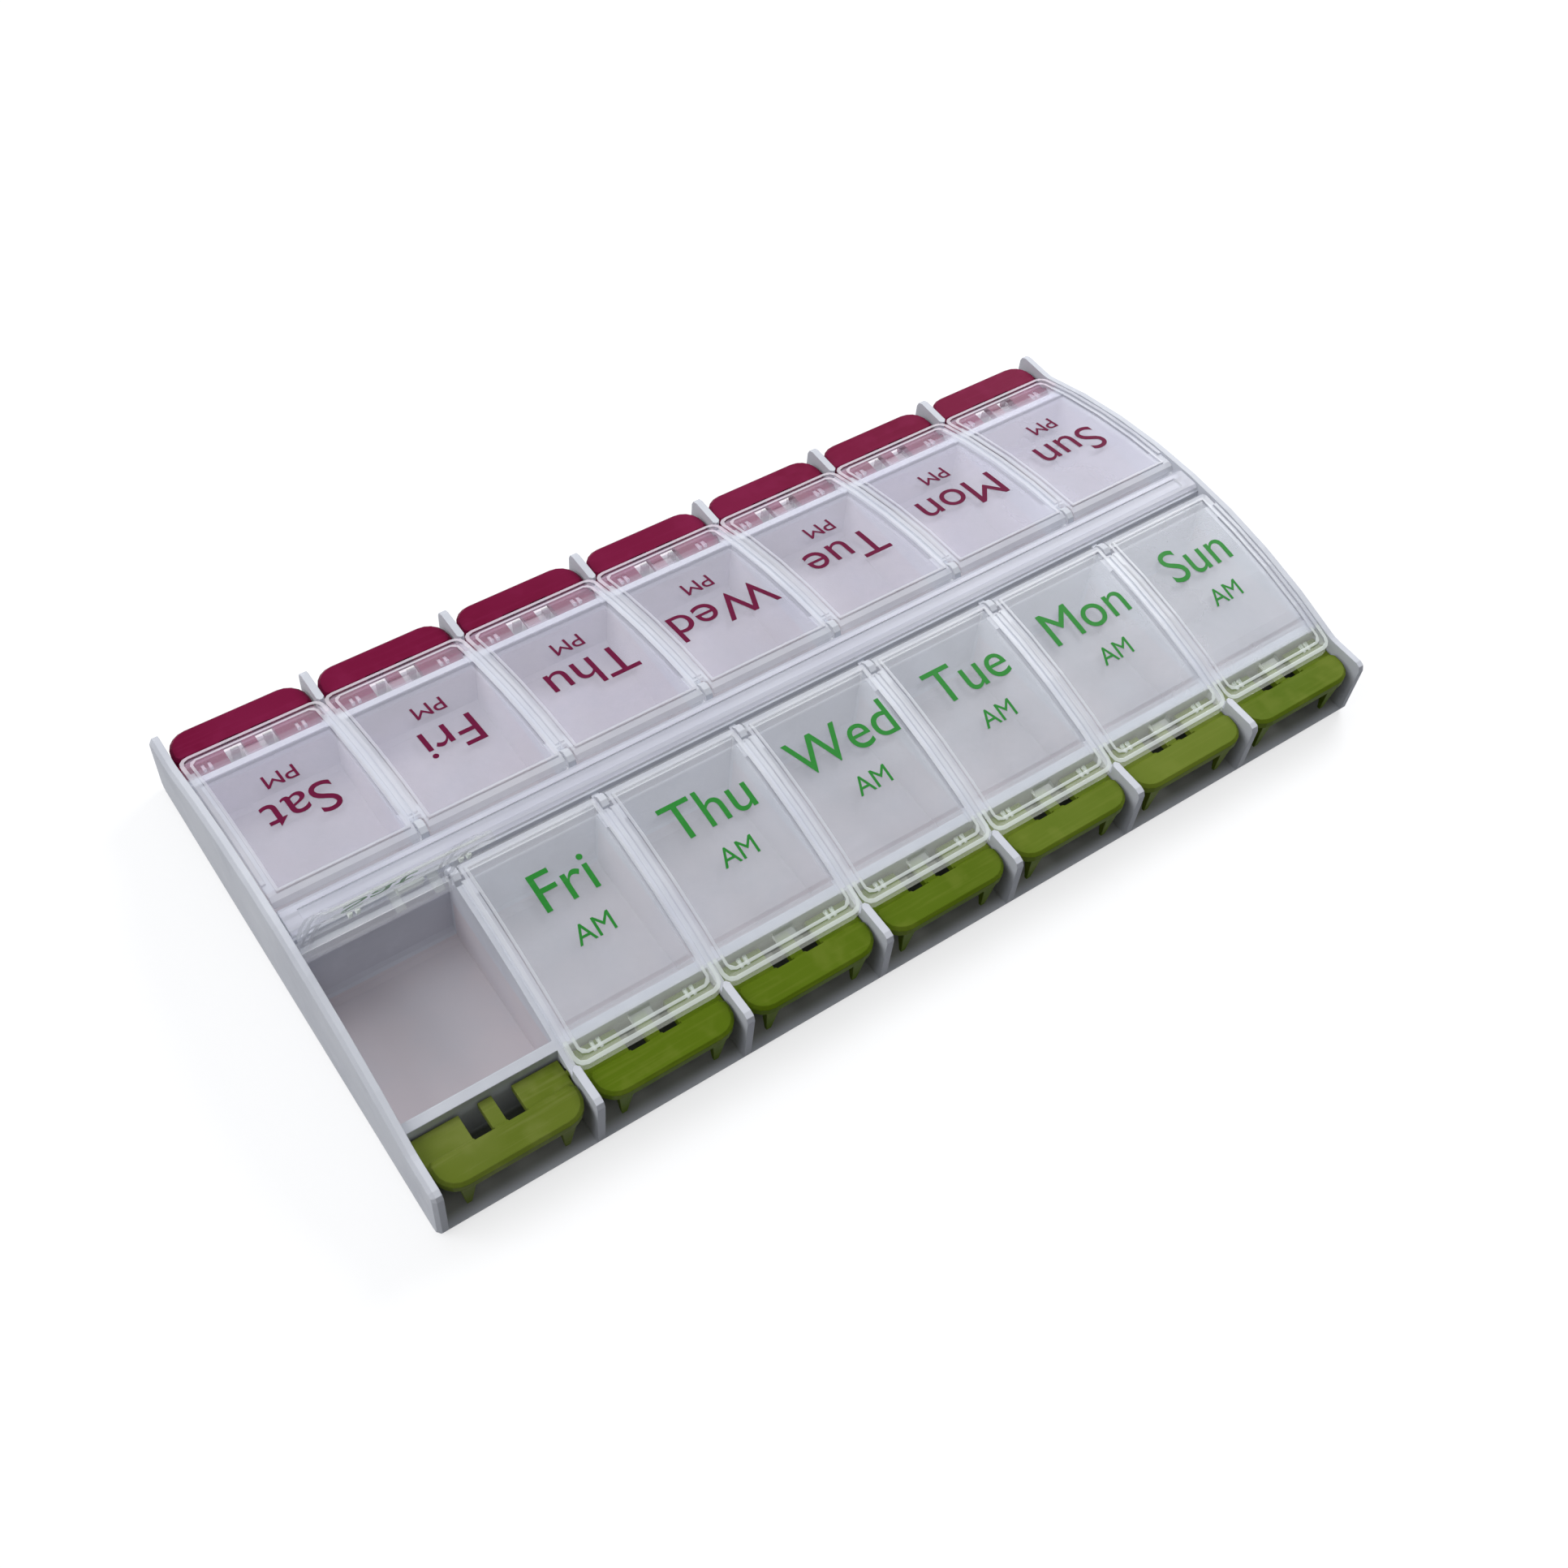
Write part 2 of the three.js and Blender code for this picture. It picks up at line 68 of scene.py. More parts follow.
class Tree:
    """The nodes of one material, or of the world, with short names for those that are used often."""

    def __init__(self, name):
        self.material = bpy.data.materials.new(name)
        self.material.use_nodes = True
        self.take(self.material.node_tree)

    @classmethod
    def of(cls, node_tree):
        made = cls.__new__(cls)
        made.take(node_tree)
        return made

    def take(self, node_tree):
        self.nodes = node_tree.nodes
        self.links = node_tree.links
        self.nodes.clear()

    def add(self, kind, inputs=None, **settings):
        made = self.nodes.new(kind)
        for key, value in settings.items():
            setattr(made, key, value)
        for key, value in (inputs or {}).items():
            self.feed(made.inputs[key], value)
        return made

    def feed(self, socket, value):
        if isinstance(value, bpy.types.NodeSocket):
            self.links.new(value, socket)
        else:
            socket.default_value = value

    def math(self, operation, *values, clamp=False):
        made = self.add("ShaderNodeMath", dict(enumerate(values)), operation=operation, use_clamp=clamp)
        return made.outputs[0]

    def noise(self, place, scale, detail, roughness):
        inputs = {"Vector": place, "Scale": scale, "Detail": detail, "Roughness": roughness}
        return self.add("ShaderNodeTexNoise", inputs).outputs["Fac"]

    def product(self, first, *others):
        made = first
        for value in others:
            made = self.math("MULTIPLY", made, value)
        return made

    def size_of(self, value):
        return self.math("ABSOLUTE", value)

    def parts_of(self, vector):
        return self.add("ShaderNodeSeparateXYZ", {"Vector": vector}).outputs

    def stretched_along_x(self, place, share):
        inputs = {"Vector": place, "Scale": (share, 1.0, 1.0)}
        return self.add("ShaderNodeMapping", inputs).outputs[0]

    def ramp(self, value, low, high, to_low=0.0, to_high=1.0):
        """A smooth rise from one result to another while the value goes from low to high."""
        inputs = {"Value": value, "From Min": low, "From Max": high, "To Min": to_low, "To Max": to_high}
        made = self.add("ShaderNodeMapRange", inputs, interpolation_type="SMOOTHSTEP")
        return made.outputs["Result"]

    def blend(self, share, first, second):
        made = self.add("ShaderNodeMix", data_type="RGBA")
        for index, value in ((0, share), (6, first), (7, second)):
            self.feed(made.inputs[index], value)
        return made.outputs[2]

    def lay(self, noise, reach, share, under, over):
        """One tint laid over another, up to a share, as the noise goes through its reach."""
        return self.blend(self.ramp(noise, *reach, 0.0, share), under, over)

    def mix(self, share, first, second):
        made = self.add("ShaderNodeMix", {0: share, 2: first, 3: second}, data_type="FLOAT")
        return made.outputs[0]

    def bump(self, height, strength, distance, under=None):
        inputs = {"Height": height, "Strength": strength, "Distance": distance}
        if under is not None:
            inputs["Normal"] = under
        return self.add("ShaderNodeBump", inputs).outputs["Normal"]

    def object_place(self):
        return self.add("ShaderNodeTexCoord").outputs["Object"]

    def soft_edges(self, radius):
        return self.add("ShaderNodeBevel", {"Radius": radius}, samples=4).outputs["Normal"]

    def sees_background(self):
        """1 for what the eye sees, also through plastic or in gloss, and 0 for light that falls on things."""
        rays = self.add("ShaderNodeLightPath").outputs
        direct = self.math("MAXIMUM", rays["Is Camera Ray"], rays["Is Transmission Ray"])
        return self.math("MAXIMUM", direct, rays["Is Glossy Ray"])

    def finish(self, shader):
        self.add("ShaderNodeOutputMaterial", {"Surface": shader})
        return self.material


# Softened edges of every piece, and the width over which most zones end
EDGE_RADIUS = 0.25 * MM
EDGE_BLUR = 0.25 * MM

# Reaches: where in a noise one tint gives way to the next
WIDE = (0.3, 0.7)
CLOUDY = (0.35, 0.7)
TIGHT = (0.42, 0.68)
PATCHY = (0.4, 0.65)
CLOUD_SHARE = 0.5           # share of its own tint that a faint cloud or a broad patch takes

# Moulded plastic: each noise as bumps to the metre, detail and roughness, then its reach and share
HAZES = (22.0, 2.0, 0.5)
CLOUDS = (55.0, 3.0, 0.6)
PATCHES = (190.0, 2.0, 0.55)
FLOW_LINES = (1100.0, 2.0, 0.55)
SPECKLE = (2600.0, 2.0, 0.6)
FLOW_STRETCH = 0.05         # share of their bumps that flow lines have along X
HAZE_REACH = (0.5, 0.68)
PATCH_REACH = (0.5, 0.72)
LINE_REACH = (0.5, 0.7)
SPECKLE_REACH = (0.55, 0.8)
PATCH_SHARE = 0.35
SPECKLE_SHARE = 0.1
WEAR_REACH = (1.0, 0.75)    # cosine between softened and plain normal where wear starts and is full
WEAR_POLISH = 0.2
MOULDED_ROUGHNESS = (0.38, 0.48)

# Its relief, as strength and height
CLOUD_RELIEF = (0.25, 0.25 * MM)
LINE_RELIEF = (0.12, 0.05 * MM)
SPECKLE_RELIEF = (0.22, 0.03 * MM)

# Painted light on the sides of the spine, above the compartments and below the hinge knuckles, where the
# groove lies in shade
SPINE_HALF = 4.6 * MM
SPINE_FOOT = 15 * MM
SPINE_HEAD = 19.8 * MM
SPINE_BLUR = 1 * MM
SPINE_END = 104.2 * MM

# Painted shade, a little warmer than the tray, inside the compartments, on their floor and low on their walls
CELL_REAR = 5.5 * MM
CELL_FRONT = 40.6 * MM
CELL_TOP = 14 * MM
CELL_TOP_BLUR = 2 * MM
CELL_FOOT = 0.5 * MM
CELL_FOOT_BLUR = 0.5 * MM
CELL_CLOUD_SHARE = 0.3

# Painted shade deep in the bays under the buttons, and darker painted shade deeper still
BAY_REAR = 41.2 * MM
BAY_EDGE = 54.3 * MM        # the shade starts here, is full at BAY_DEEP and dark at BAY_DARK
BAY_DEEP = 51.5 * MM
BAY_DARK = 46 * MM
BAY_TOP = 11 * MM
BAY_BLUR = 1 * MM
BAY_END = 105 * MM


def tray_zones(tree, shade, clouds, deep, painted_zones):
    """The tray's painted light and shade: painted light on the spine, painted shade in the compartments and
    the button bays.
    """
    axes = tree.parts_of(tree.object_place())
    along = tree.size_of(axes["X"])
    out = tree.size_of(axes["Y"])
    high = axes["Z"]

    between = tree.ramp(along, SPINE_END + EDGE_BLUR, SPINE_END)
    near = tree.ramp(out, SPINE_HALF + SPINE_BLUR, SPINE_HALF)
    above = tree.ramp(high, SPINE_FOOT, SPINE_FOOT + SPINE_BLUR)
    below = tree.ramp(high, SPINE_HEAD + EDGE_BLUR, SPINE_HEAD)
    shade = tree.blend(tree.product(near, above, below, between), shade, painted_zones["spine"])

    rear = tree.ramp(out, CELL_REAR, CELL_REAR + EDGE_BLUR)
    front = tree.ramp(out, CELL_FRONT, CELL_FRONT - EDGE_BLUR)
    below = tree.ramp(high, CELL_TOP, CELL_TOP - CELL_TOP_BLUR)
    above = tree.ramp(high, CELL_FOOT, CELL_FOOT + CELL_FOOT_BLUR)
    cell_shade = tree.lay(clouds, TIGHT, CELL_CLOUD_SHARE, painted_zones["cell"], deep)
    shade = tree.blend(tree.product(rear, between, front, below, above), shade, cell_shade)

    rear = tree.ramp(out, BAY_REAR, BAY_REAR + BAY_BLUR)
    under = tree.ramp(high, BAY_TOP + BAY_BLUR, BAY_TOP - BAY_BLUR)
    within = tree.product(rear, under, tree.ramp(along, BAY_END + EDGE_BLUR, BAY_END))
    depth = tree.ramp(out, BAY_EDGE, BAY_DEEP)
    shade = tree.blend(tree.product(depth, within), shade, painted_zones["bay"])
    deepest = tree.ramp(out, BAY_DEEP, BAY_DARK)
    return tree.blend(tree.product(deepest, within), shade, painted_zones["bay_deep_painted_shade"])


def moulded(name, tints, gloss, worn_share, streaks, painted_zones=None):
    """Solid moulded plastic: cloudy colour, fine speckle, flow streaks, softened and slightly worn edges.

    The tints are the colour, that of its clouds and speckle, and that of its patches, streaks and worn edges.
    The painted zones, of the tray alone, are the colours of its painted light and shade.
    """
    colour, deep, light = tints
    tree = Tree(name)
    place = tree.object_place()
    clouds = tree.noise(place, *CLOUDS)
    lines = tree.noise(tree.stretched_along_x(place, FLOW_STRETCH), *FLOW_LINES)
    speckle = tree.noise(place, *SPECKLE)
    shade = tree.lay(clouds, TIGHT, CLOUD_SHARE, colour, deep)
    shade = tree.lay(tree.noise(place, *PATCHES), PATCH_REACH, PATCH_SHARE, shade, light)
    shade = tree.lay(lines, LINE_REACH, streaks, shade, light)
    shade = tree.lay(tree.noise(place, *HAZES), HAZE_REACH, 2 * streaks, shade, light)
    shade = tree.lay(speckle, SPECKLE_REACH, SPECKLE_SHARE, shade, deep)
    # Handled edges are a little paler and smoother than the faces beside them
    edges = tree.soft_edges(EDGE_RADIUS)
    plain = tree.add("ShaderNodeNewGeometry").outputs["Normal"]
    turned = tree.add("ShaderNodeVectorMath", {0: edges, 1: plain}, operation="DOT_PRODUCT")
    worn = tree.ramp(turned.outputs["Value"], *WEAR_REACH, 0.0, worn_share)
    shade = tree.blend(worn, shade, light)
    if painted_zones:
        shade = tray_zones(tree, shade, clouds, deep, painted_zones)
    rough = tree.ramp(clouds, *WIDE, *MOULDED_ROUGHNESS)
    rough = tree.math("SUBTRACT", rough, tree.product(worn, WEAR_POLISH), clamp=True)
    flow = tree.bump(clouds, *CLOUD_RELIEF, edges)
    ribbed = tree.bump(lines, *LINE_RELIEF, flow)
    grain = tree.bump(speckle, *SPECKLE_RELIEF, ribbed)
    shader = tree.add("ShaderNodeBsdfPrincipled", {
        "Base Color": shade,
        "Roughness": rough,
        "Normal": grain,
        "Specular IOR Level": gloss,
    })
    return tree.finish(shader.outputs[0])


SHADE_SHARE = 0.15          # share of its cover that plastic keeps for the light that falls through it


def let_through(tree, cover):
    """The cover of see-through plastic, less for the light that falls through it."""
    falling = tree.add("ShaderNodeLightPath").outputs["Is Shadow Ray"]
    return tree.product(cover, tree.mix(falling, 1.0, SHADE_SHARE))


# Zones of a lid, in places across it, out from the centre line and below the arch
PANEL_HALF = 12.65 * MM     # half width of the frosted panel
PANEL_END = 101.7 * MM      # where the outer panels end, from the middle of the organizer
PANEL_REAR = 6.7 * MM       # where the frosted panel starts and ends, from the centre line
PANEL_FRONT = 41.9 * MM
FRONT_BLUR = 0.35 * MM
GROOVE_START = 45.3 * MM    # the groove between the front rim and the ridge
RAISED_DROP = 0.25 * MM     # rims and ridges come nearer to the arch than this
RAISED_BLUR = 0.1 * MM
CATCH_DROP = 1.8 * MM       # ribs and prongs of the catch hang lower than this
LUG_HALF = 2.35 * MM        # half width of the lug between the two prongs
GUIDE_START = 7.5 * MM      # where the guide ribs start, from the middle of the lid

# How much each zone of a lid covers, on each of its two faces
FROST_ALPHA = 0.22
FROST_VARIES = 0.03         # up and down, with the clouds
FROST_RISE = 0.09           # the panels get cloudier towards the Sunday end
FROST_RISE_START = 10 * MM
FROST_RISE_END = 100 * MM
MILKY_ALPHA = 0.56
CLEAR_ALPHA = 0.15
GROOVE_ALPHA = 0.3
PRONG_ALPHA = {-1: 0.2, 1: 0.36}    # in the morning row, at -Y, and in the evening row, higher on a shut lid so that the prongs' painted shade shows
OPEN_PRONG_ALPHA = 0.1
LUG_ALPHA = 0.34
GUIDE_ALPHA = 0.75
RIM_ALPHA = 0.68            # of the rim and the ridge in front
SIDE_RIM_ALPHA = 0.55       # of the rims at the sides and the rear
RIB_SHARE = 0.25            # share of its cover that the locating rib under a lid keeps
WALL_SHARE = 0.3            # share of its cover that an upright wall of a rim keeps
LEVEL_REACH = (0.3, 0.7)    # how much a face looks up or down, from such a wall to a level face

# Noises, relief, roughness and gloss of a lid
LID_CLOUDS = (70.0, 3.0, 0.6)
LID_PATCHES = (28.0, 2.0, 0.5)
LID_GRAIN = (3500.0, 2.0, 0.6)
LID_RELIEF = (0.2, 0.2 * MM)
GRAIN_STRENGTH = 0.35
GRAIN_HEIGHT = 0.02 * MM
BORDER_ROUGHNESS = 0.3
PANEL_ROUGHNESS = 0.5
FRONT_ROUGHNESS = 0.14
LID_GLOSS = 0.5

# Tints of each row of lids, and those that the two rows share; the dark prong tints are painted shade from
# the notches under a shut lid
FRONT_TINTS = {
    "frost": linear(227, 231, 239), "clouds": linear(216, 221, 231), "patches": linear(224, 230, 236),
    "front": linear(224, 229, 214), "rims": linear(226, 234, 230), "prongs": linear(104, 108, 98),
}
REAR_TINTS = {
    "frost": linear(227, 225, 241), "clouds": linear(214, 212, 231), "patches": linear(221, 222, 236),
    "front": linear(222, 196, 222), "rims": linear(230, 218, 232), "prongs": linear(112, 94, 106),
}
MILKY = linear(221, 224, 232)
MILKY_CLOUDS = linear(212, 215, 226)
FRONT_CLOUDS = linear(206, 206, 208)
RIM_CLOUDS = linear(214, 218, 218)
SIDE_RIM_TINT_SHARE = 0.1   # share of the bright rim tint on the rims beside and behind the panel


def turned_shut(tree, vector, side, centre):
    """A place or direction on the open lid, as it is when the lid is shut."""
    inputs = {"Vector": vector, "Center": centre, "Angle": -side * OPEN_ANGLE}
    return tree.add("ShaderNodeVectorRotate", inputs, rotation_type="X_AXIS").outputs["Vector"]


def lid_zones(tree, axes, side):
    """Masks of the zones of a lid that is shut."""
    cell = tree.math("MODULO", tree.math("ADD", axes["X"], ROW_HALF), PITCH)
    across = tree.size_of(tree.math("SUBTRACT", cell, PITCH / 2))
    out = tree.product(axes["Y"], side)
    square = tree.math("SUBTRACT", ARCH_RADIUS ** 2, tree.product(out, out))
    curve = tree.math("ADD", tree.math("SQRT", square), ARCH_TOP - ARCH_RADIUS)
    drop = tree.math("SUBTRACT", curve, axes["Z"])
    inside = tree.ramp(across, PANEL_HALF + EDGE_BLUR, PANEL_HALF)
    ends = tree.ramp(tree.size_of(axes["X"]), PANEL_END + EDGE_BLUR, PANEL_END)
    rear = tree.ramp(out, PANEL_REAR, PANEL_REAR + EDGE_BLUR)
    front = tree.ramp(out, PANEL_FRONT - FRONT_BLUR, PANEL_FRONT + FRONT_BLUR)
    hung = tree.ramp(drop, CATCH_DROP, CATCH_DROP + EDGE_BLUR)
    lug = tree.ramp(across, LUG_HALF + EDGE_BLUR / 2, LUG_HALF)
    guide = tree.ramp(across, GUIDE_START, GUIDE_START + EDGE_BLUR)
    catch = tree.product(hung, front)
    return SimpleNamespace(
        panel=tree.product(inside, ends, rear),
        front=front,
        groove=tree.ramp(out, GROOVE_START - EDGE_BLUR, GROOVE_START),
        raised=tree.ramp(drop, RAISED_DROP + RAISED_BLUR, RAISED_DROP - RAISED_BLUR),
        hung=hung,
        catch=catch,
        lug=lug,
        guide=guide,
        prong=tree.product(catch, tree.math("SUBTRACT", 1.0, tree.math("ADD", lug, guide), clamp=True)),
    )


def lid_colour(tree, zones, place, clouds, opened, tints):
    """The tints of a lid's zones, with their clouds, and painted shade on the prongs of a shut lid."""
    frosted = tree.lay(clouds, CLOUDY, 1.0, tints["frost"], tints["clouds"])
    frosted = tree.lay(tree.noise(place, *LID_PATCHES), PATCHY, CLOUD_SHARE, frosted, tints["patches"])
    milky = tree.lay(clouds, CLOUDY, 1.0, MILKY, MILKY_CLOUDS)
    clear = tree.lay(clouds, CLOUDY, CLOUD_SHARE, tints["front"], FRONT_CLOUDS)
    bright = tree.lay(clouds, CLOUDY, CLOUD_SHARE, tints["rims"], RIM_CLOUDS)
    shade = tree.blend(zones.panel, milky, frosted)
    shade = tree.blend(zones.front, shade, clear)
    rims = tree.ramp(zones.front, 0.0, 1.0, SIDE_RIM_TINT_SHARE, 1.0)
    shade = tree.blend(tree.product(zones.raised, rims), shade, bright)
    shade = tree.blend(zones.catch, shade, bright)
    # A shut lid's prongs take a dark tint: painted shade from the notches below them
    return tree.blend(zones.prong, shade, tints["rims"] if opened else tints["prongs"])


def lid_cover(tree, zones, axes, facing, clouds, opened, side):
    """How much a lid's plastic hides of what is behind it."""
    frost = tree.ramp(clouds, *WIDE, FROST_ALPHA - FROST_VARIES, FROST_ALPHA + FROST_VARIES)
    rise = tree.ramp(axes["X"], FROST_RISE_START, FROST_RISE_END, 0.0, FROST_RISE)
    level = tree.ramp(tree.size_of(tree.parts_of(facing)["Z"]), *LEVEL_REACH, WALL_SHARE, 1.0)
    cover = tree.mix(zones.panel, MILKY_ALPHA, tree.math("ADD", frost, rise))
    cover = tree.mix(zones.front, cover, tree.mix(zones.groove, CLEAR_ALPHA, GROOVE_ALPHA))
    cover = tree.mix(zones.raised, cover, tree.mix(zones.front, SIDE_RIM_ALPHA, RIM_ALPHA))
    cover = tree.product(cover, level, tree.mix(zones.hung, 1.0, RIB_SHARE))
    prongs = OPEN_PRONG_ALPHA if opened else PRONG_ALPHA[side]
    hanging = tree.mix(zones.guide, tree.mix(zones.lug, prongs, LUG_ALPHA), GUIDE_ALPHA)
    return let_through(tree, tree.mix(zones.catch, cover, hanging))


def lid_plastic(name, side, opened, tints):
    """Lid plastic: a frosted panel, milky borders, a clear front strip, and bright rims and catch ribs."""
    tree = Tree(name)
    place = tree.object_place()
    shut = place
    # This normal is the world's, so that it tells walls from level faces only while the lid is at rest
    facing = tree.add("ShaderNodeNewGeometry").outputs["True Normal"]
    if opened:
        shut = turned_shut(tree, place, side, (0, side * HINGE_PLACE, HINGE_HEIGHT))
        facing = turned_shut(tree, facing, side, (0, 0, 0))
    axes = tree.parts_of(shut)
    zones = lid_zones(tree, axes, side)
    clouds = tree.noise(place, *LID_CLOUDS)
    rough = tree.mix(zones.panel, BORDER_ROUGHNESS, PANEL_ROUGHNESS)
    waves = tree.bump(clouds, *LID_RELIEF, tree.soft_edges(EDGE_RADIUS))
    grain = tree.product(zones.panel, GRAIN_STRENGTH)
    shader = tree.add("ShaderNodeBsdfPrincipled", {
        "Base Color": lid_colour(tree, zones, place, clouds, opened, tints),
        "Roughness": tree.mix(zones.front, rough, FRONT_ROUGHNESS),
        "Alpha": lid_cover(tree, zones, axes, facing, clouds, opened, side),
        "Normal": tree.bump(tree.noise(place, *LID_GRAIN), grain, GRAIN_HEIGHT, waves),
        "Specular IOR Level": LID_GLOSS,
    })
    return tree.finish(shader.outputs[0])


# The strip over the spine: noises, relief, tints, cover, roughness and gloss
STRIP_CLOUDS = (60.0, 3.0, 0.6)
STRIP_LINES = (700.0, 2.0, 0.5)
STRIP_STRETCH = 0.06
STRIP_LINE_REACH = (0.45, 0.75)
STRIP_LINE_SHARE = 0.3
STRIP_RELIEF = (0.2, 0.05 * MM)
STRIP_PLAIN = linear(208, 209, 221)
STRIP_CLOUD_TINT = linear(198, 199, 212)
STRIP_LINE_TINT = linear(218, 221, 228)
STRIP_SIDE_TINT = linear(236, 238, 242)
STRIP_ALPHA = (0.55, 0.63)
STRIP_SIDE_ALPHA = 0.94     # upright sides, where one looks along the plastic
STRIP_SIDE_REACH = (0.5, 0.2)   # how much a face looks up or down, from a level face to such a side
STRIP_ROUGHNESS = (0.32, 0.46)
STRIP_GLOSS = 0.4


def strip_plastic(name):
    """Milky clear plastic of the strip over the spine, with long flow lines."""
    tree = Tree(name)
    place = tree.object_place()
    clouds = tree.noise(place, *STRIP_CLOUDS)
    lines = tree.noise(tree.stretched_along_x(place, STRIP_STRETCH), *STRIP_LINES)
    facing = tree.add("ShaderNodeNewGeometry").outputs["True Normal"]
    upright = tree.ramp(tree.size_of(tree.parts_of(facing)["Z"]), *STRIP_SIDE_REACH)
    shade = tree.lay(clouds, WIDE, 1.0, STRIP_PLAIN, STRIP_CLOUD_TINT)
    shade = tree.lay(lines, STRIP_LINE_REACH, STRIP_LINE_SHARE, shade, STRIP_LINE_TINT)
    cover = tree.mix(upright, tree.ramp(clouds, *WIDE, *STRIP_ALPHA), STRIP_SIDE_ALPHA)
    shader = tree.add("ShaderNodeBsdfPrincipled", {
        "Base Color": tree.blend(upright, shade, STRIP_SIDE_TINT),
        "Roughness": tree.ramp(lines, *WIDE, *STRIP_ROUGHNESS),
        "Alpha": let_through(tree, cover),
        "Normal": tree.bump(lines, *STRIP_RELIEF, tree.soft_edges(EDGE_RADIUS)),
        "Specular IOR Level": STRIP_GLOSS,
    })
    return tree.finish(shader.outputs[0])


# Ink: its noise, and where it is thin
INK_COVER = (900.0, 3.0, 0.65)
THIN_REACH = (0.45, 0.8)
THIN_SHARE = 0.5
INK_RELIEF = (0.15, 0.02 * MM)
INK_ROUGHNESS = (0.38, 0.55)
INK_GLOSS = 0.12


def ink(name, colour, thin):
    """Printed ink: slightly uneven cover with a faint sheen."""
    tree = Tree(name)
    cover = tree.noise(tree.object_place(), *INK_COVER)
    shader = tree.add("ShaderNodeBsdfPrincipled", {
        "Base Color": tree.lay(cover, THIN_REACH, THIN_SHARE, colour, thin),
        "Roughness": tree.ramp(cover, *WIDE, *INK_ROUGHNESS),
        "Normal": tree.bump(cover, *INK_RELIEF),
        "Specular IOR Level": INK_GLOSS,
    })
    return tree.finish(shader.outputs[0])


def dress(node_name, material):
    """Gives a CAD node its material, and leaves its mesh alone."""
    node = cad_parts[node_name]
    for slot in node.material_slots:
        slot.link = "OBJECT"
        slot.material = material


# Tints of moulded plastic: the colour, its clouds, and its lighter patches, streaks and edges
WHITES = (linear(206, 209, 217), linear(196, 199, 208), linear(216, 219, 227))
GREENS = (linear(86, 107, 18), linear(76, 97, 9), linear(114, 126, 48))
CRIMSONS = (linear(114, 12, 54), linear(104, 6, 45), linear(128, 28, 70))
# Lighter greens of the Saturday morning button: a painted reflection on its pad
GREENS_PAINTED_REFLECTION = (linear(98, 112, 38), linear(80, 98, 14), linear(122, 130, 68))
# Painted light on the tray's spine, and painted shade in its compartments and button bays
PAINTED_ZONES = {
    "spine": linear(246, 248, 251), "cell": linear(208, 202, 207),
    "bay": linear(150, 151, 146), "bay_deep_painted_shade": linear(92, 96, 86),
}
white = moulded("tray_moulding", WHITES, gloss=0.03, worn_share=0.3, streaks=0.1, painted_zones=PAINTED_ZONES)
green = moulded("green_moulding", GREENS, gloss=0.03, worn_share=0.35, streaks=0.26)
# The Saturday morning button's moulding, with a painted reflection on its pad
green_painted_reflection = moulded("green_moulding_painted_reflection", GREENS_PAINTED_REFLECTION, gloss=0.03, worn_share=0.35, streaks=0.4)
crimson = moulded("crimson_moulding", CRIMSONS, gloss=0.06, worn_share=0.4, streaks=0.2)
lid_am = lid_plastic("lid_front_row", side=-1, opened=False, tints=FRONT_TINTS)
lid_am_open = lid_plastic("lid_front_row_open", side=-1, opened=True, tints=FRONT_TINTS)
lid_pm = lid_plastic("lid_rear_row", side=1, opened=False, tints=REAR_TINTS)
green_ink = ink("green_ink", linear(38, 130, 46), linear(58, 142, 64))
crimson_ink = ink("crimson_ink", linear(98, 2, 50), linear(116, 16, 66))

dress("tray", white)
dress("hinge_strip", strip_plastic("strip_plastic"))
for day in DAYS:
    lifted = f"lid_{day}_am" == OPEN_LID
    dress(f"lid_{day}_am", lid_am_open if lifted else lid_am)
    dress(f"lid_{day}_pm", lid_pm)
    dress(f"button_{day}_am", green_painted_reflection if lifted else green)
    dress(f"button_{day}_pm", crimson)

# Printed words on the lids: the day and the half of the day, in a plain sans face
PRINT_LIFT = 0.03 * MM
PRINT_THICKNESS = 0.03 * MM
WORD_HEIGHT = 7.8 * MM
HALF_HEIGHT = 3.7 * MM
BASELINES = {"am": (21.0 * MM, 29.0 * MM), "pm": (25.3 * MM, 32.6 * MM)}
WORD_SHIFT = 0.3 * MM       # the words stand this far off the middle of their lid
BAND = 1.0 * MM             # width of the bands in which the words bend over the arch
LETTER_STEPS = 6            # short straight stretches in each curve of a letter


def letters(word, height, baseline, centre):
    """A word as a flat mesh: capitals of the given height, centred in X, and its baseline at -baseline."""
    curve = bpy.data.curves.new(f"word_{word}", "FONT")
    curve.body = word
    curve.size = 1.0
    curve.align_x = "CENTER"
    curve.extrude = 0.5     # each way, so that the letters are 1 thick before they are scaled
    curve.resolution_u = LETTER_STEPS
    text = bpy.data.objects.new(curve.name, curve)
    bpy.context.scene.collection.objects.link(text)
    bpy.context.view_layer.update()
    drawn = text.evaluated_get(bpy.context.evaluated_depsgraph_get())
    mesh = bpy.data.meshes.new_from_object(drawn)
    mesh.transform(Matrix.Diagonal((height / CAPITAL, height / CAPITAL, PRINT_THICKNESS, 1)))
    middle = (min(v.co.x for v in mesh.vertices) + max(v.co.x for v in mesh.vertices)) / 2
    mesh.transform(Matrix.Translation((centre - middle, -baseline, PRINT_THICKNESS / 2)))
    bpy.data.objects.remove(text)
    bpy.data.curves.remove(curve)
    return mesh


def capital_height():
    """Height of a capital letter of the font at size 1."""
    curve = bpy.data.curves.new("capital", "FONT")
    curve.body = "T"
    text = bpy.data.objects.new("capital", curve)
    bpy.context.scene.collection.objects.link(text)
    bpy.context.view_layer.update()
    height = text.bound_box[6][1]
    bpy.data.objects.remove(text)
    bpy.data.curves.remove(curve)
    return height


CAPITAL = capital_height()


